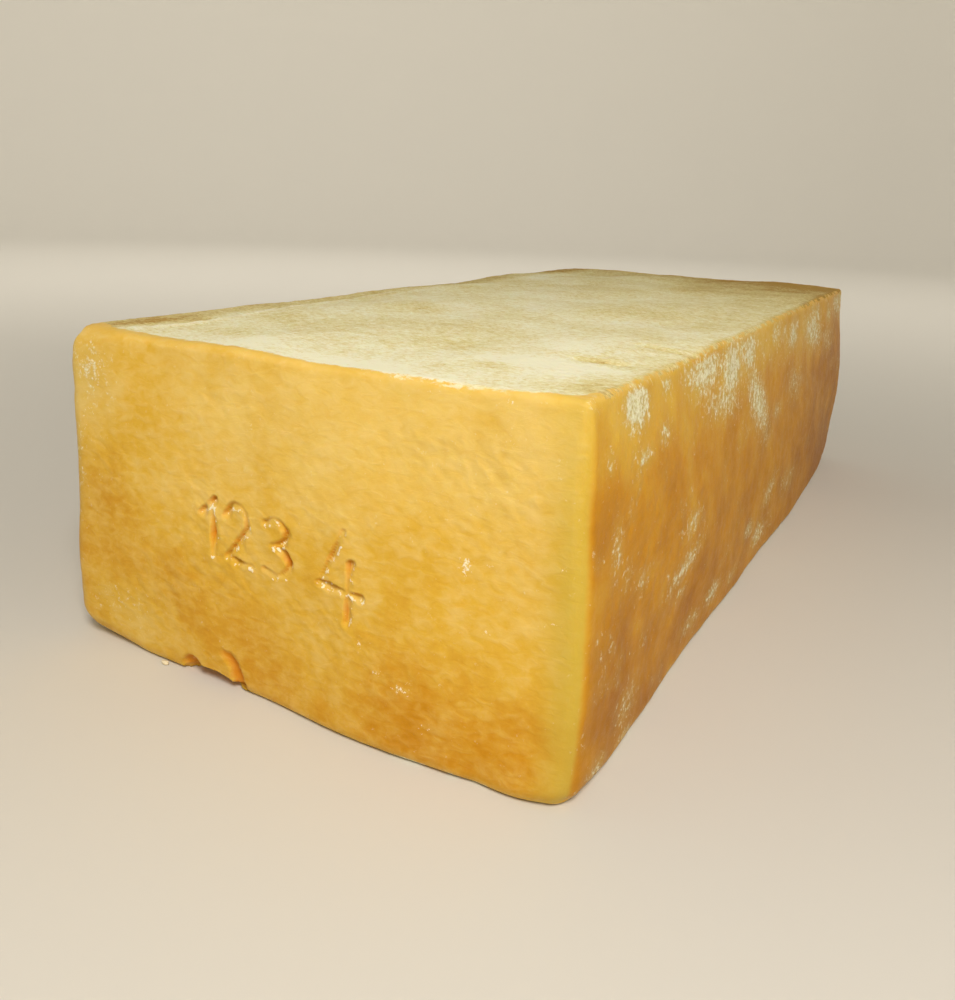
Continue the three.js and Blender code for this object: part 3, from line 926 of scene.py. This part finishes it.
film = add(tree, "Math", {0: clouds.outputs["Fac"], 1: smeared.outputs[0]}, operation="ADD")
film = add(tree, "Math", {0: grit.outputs["Fac"], 1: 0.7, 2: film.outputs[0]}, operation="MULTIPLY_ADD")
film = add(tree, "MapRange", {"Value": film.outputs[0], "From Min": 1.15, "From Max": 1.75, "To Max": 0.3},
           interpolation_type="SMOOTHSTEP")
thin = add(tree, "Math", {0: 1.15, 1: thickness_and_shade_value.outputs[0]}, operation="SUBTRACT", use_clamp=True)
film = add(tree, "Math", {0: thin.outputs[0], 1: film.outputs[0]}, operation="MULTIPLY")
film = add(tree, "Math", {0: marks["on_end"], 1: film.outputs[0]}, operation="MULTIPLY")
# The edge amount is the painted glow of the upright edges: painted light, not a colour of the rind.
edge = add(tree, "Math", {0: marks["painted_glow"], 1: 0.8}, operation="MULTIPLY")
# Torn walls and broken edges get a deeper orange: the moist paste, and painted shade in the steep walls and
# crevices.
opened_paste_and_shade = add(tree, "Math", {0: marks["torn"], 1: marks["broken_paste_and_shade"]}, operation="MAXIMUM")
opened_paste_and_shade = add(tree, "Math", {0: opened_paste_and_shade.outputs[0], 1: 0.8}, operation="MULTIPLY")
skin = lay_over(skin_ramp.outputs[0], linear("#ecd08a"), film.outputs[0])
skin = lay_over(skin, linear("#c9ad43"), edge.outputs[0])
skin = lay_over(skin, linear("#d17d0a"), opened_paste_and_shade.outputs[0])
print("the skin has", len(SKIN_COLOURS), "colours")

# %% [markdown]
# ## Mould, flecks and painted glints
# Mould first veils the skin with a dull tan, and then stands on it in tufts of 2 to 3 mm. Where it is
# thin it lies like lace, tan in its gaps and cream on its threads. Flecks are dried paste, about a
# millimetre wide and nearly white, and they also stand for small glints of the moist skin: painted
# highlights.

# %% Grow the mould
veil = add(tree, "Math", {0: marks["mould"], 1: 1.3}, operation="POWER")
veil = add(tree, "Math", {0: veil.outputs[0], 1: clouds.outputs["Fac"]}, operation="MULTIPLY")
tufts = add(tree, "TexNoise", {"Vector": place, "Scale": per_metre(2.6), "Detail": 4.0, "Roughness": 0.72,
                               "Distortion": 0.3})
mouldy = add(tree, "Math", {0: marks["mould"], 1: 0.27, 2: tufts.outputs["Fac"]}, operation="MULTIPLY_ADD")
mouldy = add(tree, "Math", {0: grit.outputs["Fac"], 1: 0.25, 2: mouldy.outputs[0]}, operation="MULTIPLY_ADD")
mouldy = add(tree, "MapRange", {"Value": mouldy.outputs[0], "From Min": 0.76, "From Max": 1.02,
                                "To Max": 0.9}, interpolation_type="SMOOTHSTEP")
lacy = add(tree, "Math", {0: tufts.outputs["Fac"], 1: grit.outputs["Fac"]}, operation="ADD")
lacy = add(tree, "MapRange", {"Value": lacy.outputs[0], "From Min": 0.74, "From Max": 1.16})
lace = lay_over(linear("#bfae66"), linear("#efeed0"), lacy.outputs[0])
# Pale flecks: dried paste, and painted glints of the moist skin.
pale_fleck_and_glint = add(tree, "Math", {0: marks["fleck_and_glint"], 1: 0.34, 2: grit.outputs["Fac"]}, operation="MULTIPLY_ADD")
pale_fleck_and_glint = add(tree, "MapRange", {"Value": pale_fleck_and_glint.outputs[0], "From Min": 0.73, "From Max": 0.85},
            interpolation_type="SMOOTHSTEP")
skin = lay_over(skin, linear("#c4a656"), veil.outputs[0])
skin = lay_over(skin, lace, mouldy.outputs[0])
skin = lay_over(skin, linear("#f6e8c4"), pale_fleck_and_glint.outputs[0])
print("nodes so far:", len(tree.nodes))

# %% [markdown]
# ## The felt on top
# The bloom is a felt of fibres 1 to 3 mm long that lie mostly across the block, as the cloth's
# threads did. Its colours run from chalk over cream to tan, by the age that was laid out above, with
# the painted shade of the far end in it. The seam's bead was rubbed and stays pale.

# %% Cover the top with bloom
CRUST_COLOURS = ((0.0, "#f0eccb"), (0.3, "#e4d9a4"), (0.6, "#d4c281"), (1.0, "#b08a42"))
fibre_way = add(tree, "Mapping", {"Vector": place, "Rotation": (0, 0, math.radians(-FIBRE_ANGLE)),
                                  "Scale": (1 / 1.8, 1, 1)})
felt = add(tree, "TexNoise", {"Vector": fibre_way.outputs[0], "Scale": per_metre(1.3), "Detail": 3.0,
                              "Roughness": 0.75, "Distortion": 0.5})
crust_age_and_shade = add(tree, "Math", {0: felt.outputs["Fac"], 1: 1.6, 2: marks["bloom_age_and_shade"]}, operation="MULTIPLY_ADD")
crust_age_and_shade = add(tree, "Math", {0: mottle.outputs["Fac"], 1: 0.7, 2: crust_age_and_shade.outputs[0]}, operation="MULTIPLY_ADD")
crust_age_and_shade = add(tree, "Math", {0: crust_age_and_shade.outputs[0], 1: 1.3}, operation="SUBTRACT")
crust_ramp = add(tree, "ValToRGB", {"Fac": crust_age_and_shade.outputs[0]})
fill_ramp(crust_ramp, CRUST_COLOURS)
crust = lay_over(crust_ramp.outputs[0], linear("#f2ecd0"), marks["seam"])
bloomed = add(tree, "Math", {0: felt.outputs["Fac"], 1: 1.4, 2: marks["bloom"]}, operation="MULTIPLY_ADD")
bloomed = add(tree, "MapRange", {"Value": bloomed.outputs[0], "From Min": 0.95, "From Max": 1.35},
              interpolation_type="SMOOTHSTEP")
colour = lay_over(skin, crust, bloomed.outputs[0])
print("the bloom has", len(CRUST_COLOURS), "colours")

# %% [markdown]
# ## Gloss and bump
# Moist skin is fairly smooth, and mould and bloom are dull. The skin is only damp, and reflects less
# than a wet one would, so its specular level is low. A little light goes some millimetres into the
# paste, red the farthest. The bump adds smears and grit on the skin, and grit and felt in the bloom.

# %% Finish the rind's shader
MOIST_LEAST, MOIST_MOST, DRY = 0.36, 0.52, 0.85  # roughness
BUMP_HEIGHT = 0.28 * MM
dry = add(tree, "Math", {0: mouldy.outputs[0], 1: bloomed.outputs[0]}, operation="MAXIMUM")
gloss = add(tree, "MapRange", {"Value": mottle.outputs["Fac"], "From Min": 0.3, "From Max": 0.7,
                               "To Min": MOIST_LEAST, "To Max": MOIST_MOST})
rough = add(tree, "Mix", {AMOUNT: dry.outputs[0], 2: gloss.outputs[0], 3: DRY}, data_type="FLOAT")
skin_height = add(tree, "Math", {0: grit.outputs["Fac"], 1: 0.3, 2: smeared.outputs[0]},
                  operation="MULTIPLY_ADD")
crust_height = add(tree, "Math", {0: grit.outputs["Fac"], 1: 0.6, 2: felt.outputs["Fac"]},
                   operation="MULTIPLY_ADD")
height = add(tree, "Mix", {AMOUNT: marks["bloom"], 2: skin_height.outputs[0], 3: crust_height.outputs[0]},
             data_type="FLOAT")
bump = add(tree, "Bump", {"Height": height.outputs[0], "Strength": 1.0, "Distance": BUMP_HEIGHT})
shader = add(tree, "BsdfPrincipled", {
    "Base Color": colour,
    "Roughness": rough.outputs[0],
    "Normal": bump.outputs[0],
    "IOR": 1.45,
    "Specular IOR Level": 0.14,
    "Subsurface Weight": 0.2,
    "Subsurface Radius": (1.0, 0.5, 0.12),
    "Subsurface Scale": 3 * MM,
})
add(tree, "OutputMaterial", {"Surface": shader.outputs[0]})
block.data.materials.append(rind)
print("rind:", len(tree.nodes), "nodes")

# %% [markdown]
# ## Dried paste
# The crumb dried through. It is chalky and nearly white, with a faint yellow in its cracks.

# %% Build the crumb's material
dried = bpy.data.materials.new("dried_cheese_paste")
dried.use_nodes = True
tree = dried.node_tree
tree.nodes.clear()
place = add(tree, "TexCoord", {}).outputs["Object"]
cracks = add(tree, "TexNoise", {"Vector": place, "Scale": per_metre(0.6), "Detail": 3.0})
colour = lay_over(linear("#f4ead0"), linear("#e2cf9c"), cracks.outputs["Fac"])
bump = add(tree, "Bump", {"Height": cracks.outputs["Fac"], "Distance": 0.2 * MM})
shader = add(tree, "BsdfPrincipled", {"Base Color": colour, "Roughness": 0.8, "Normal": bump.outputs[0]})
add(tree, "OutputMaterial", {"Surface": shader.outputs[0]})
crumb.data.materials.append(dried)
print("crumb's material:", dried.name)

# %% [markdown]
# ## The floor
# The stage is a plain pale floor that curves up into a wall all round, so that no edge shows behind.
# It is one disc whose rim is extruded ring by ring along a quarter circle. It lies a hair under the
# block, so that the two never share a plane.

# %% Set the stage
FLOOR_GAP = 0.05 * MM
FLAT_RADIUS, CURVE_RADIUS, WALL_HEIGHT = 3.0, 1.6, 4.0  # metres
CURVE_STEPS = 10
bpy.ops.mesh.primitive_circle_add(vertices=96, radius=FLAT_RADIUS, fill_type="NGON", location=(0, 0, 0))
floor = bpy.context.object
floor.name = "studio_floor"
floor.data.transform(Matrix.Translation((0, 0, -FLOOR_GAP)))
bpy.ops.object.mode_set(mode="EDIT")
bpy.ops.mesh.select_mode(type="EDGE")
bpy.ops.mesh.select_all(action="SELECT")
rings = [(FLAT_RADIUS + CURVE_RADIUS * math.sin(turn), CURVE_RADIUS * (1 - math.cos(turn)))
         for turn in (math.radians(90 * step / CURVE_STEPS) for step in range(CURVE_STEPS + 1))]
rings.append((FLAT_RADIUS + CURVE_RADIUS, WALL_HEIGHT))
for (inner, low), (outer, high) in zip(rings, rings[1:]):
    bpy.ops.mesh.extrude_edges_move(TRANSFORM_OT_translate={"value": (0, 0, high - low)})
    bpy.ops.transform.resize(value=(outer / inner, outer / inner, 1), center_override=(0, 0, high))
bpy.ops.object.mode_set(mode="OBJECT")
bpy.ops.object.shade_smooth_by_angle(angle=math.radians(30))
paper = bpy.data.materials.new("matt_paper")
paper.use_nodes = True
paper_shader = paper.node_tree.nodes["Principled BSDF"]
paper_shader.inputs["Base Color"].default_value = linear("#d8d4ca")
paper_shader.inputs["Roughness"].default_value = 0.9
floor.data.materials.append(paper)
print("stage reaches", round(max(corner.co.x for corner in floor.data.vertices), 2), "m")

# %% [markdown]
# ## The light
# The key light is a soft square above and to the right of the camera. Being about a metre from the
# front and farther from the back, it loses strength towards the far end, as the real light does. Four
# wash lights hang over the block and face away from it, at the wall. They keep the background pale,
# and what comes back from it fills the shadows softly.

# %% Light the stage
# Name, place and target in metres, side of the square in metres, watts, colour.
LIGHTS = (
    ("key_light", (0.44, -0.70, 0.78), (0.05, -0.2, 0.08), 0.3, 7.9, "#fffaf4"),
    ("wash_behind", (0.0, 0.6, 2.4), (0.0, 4.6, 1.7), 1.6, 70, "#fffaf2"),
    ("wash_left", (-0.6, 0.0, 2.4), (-4.6, 0.0, 1.7), 1.6, 70, "#fffaf2"),
    ("wash_right", (0.6, 0.0, 2.4), (4.6, 0.0, 1.7), 1.6, 42, "#fffaf2"),
    ("wash_front", (0.0, -0.6, 2.4), (0.0, -4.6, 1.7), 1.6, 42, "#fffaf2"),
)
for name, at, target, side, watts, tint in LIGHTS:
    bpy.ops.object.light_add(type="AREA", location=at)
    light = bpy.context.object
    light.name = name
    light.rotation_euler = (Vector(at) - Vector(target)).to_track_quat("Z", "Y").to_euler()
    light.data.size = side
    light.data.energy = watts
    light.data.color = linear(tint)[:3]
    print(name, watts, "W")

world = bpy.data.worlds.new("pale_room")
world.use_nodes = True
tree = world.node_tree
tree.nodes["Background"].inputs["Color"].default_value = linear("#f3efe6")
tree.nodes["Background"].inputs["Strength"].default_value = 0.2
bpy.context.scene.world = world
# The plain transform shows the finishes' own colours; the filmic one would wash the yellows out.
bpy.context.scene.view_settings.view_transform = "Standard"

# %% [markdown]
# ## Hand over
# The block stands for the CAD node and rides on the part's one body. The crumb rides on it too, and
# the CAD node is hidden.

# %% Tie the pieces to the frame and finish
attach(block, "root")
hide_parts("cheese_block")
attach(crumb, "root")
